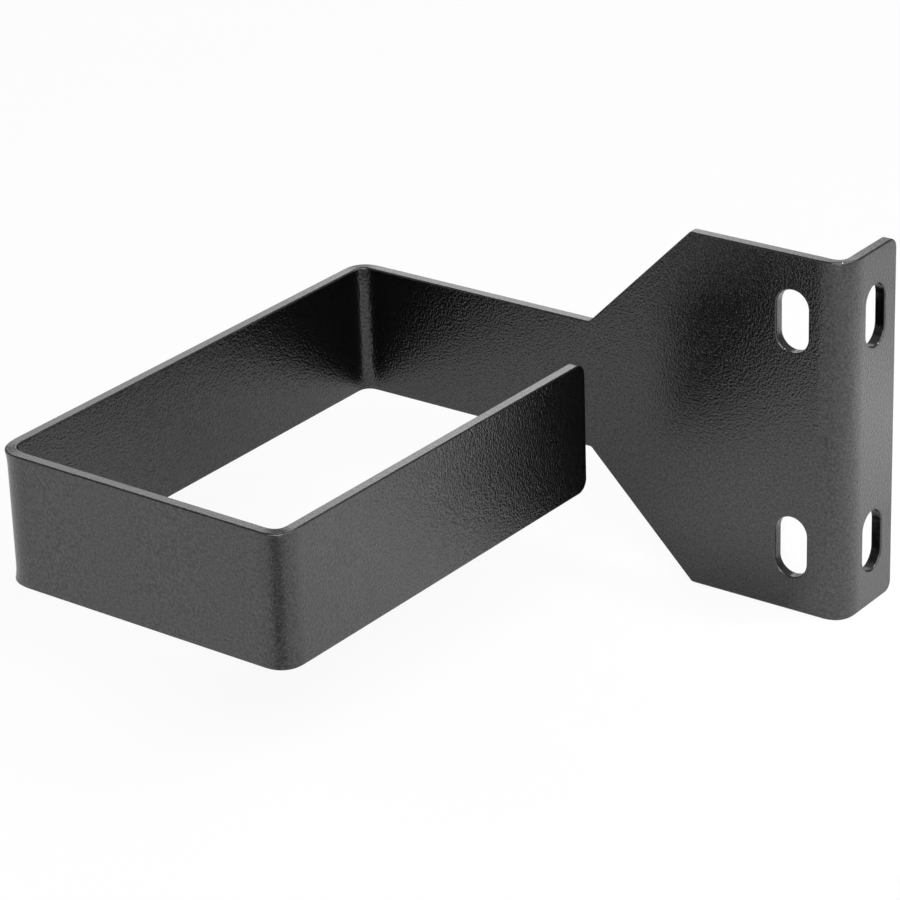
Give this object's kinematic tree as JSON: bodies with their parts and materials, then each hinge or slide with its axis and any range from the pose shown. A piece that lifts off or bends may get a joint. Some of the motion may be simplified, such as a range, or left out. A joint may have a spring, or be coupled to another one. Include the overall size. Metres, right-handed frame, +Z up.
{
  "type": "d-ring cable hook",
  "caption": "Folded steel strap ring with an open mouth for routing cable bundles, on a tapered plate with a slotted mounting flange, powder coated black.",
  "frame": {"origin": "middle of the flange's two slots, on the flange's outer face, where the hook meets the upright that it is screwed to", "axes": "+X out of the flange's outer face and along the plate, +Y from the ring's side to the flange's side, +Z up, along the flange's slots"},
  "size_m": [0.1098, 0.1196, 0.07],
  "materials": {
    "coat": "satin black powder coat with a fine orange-peel grain"
  },
  "bodies": {
    "root": {"cable_hook": "coat"}
  },
  "joints": []
}
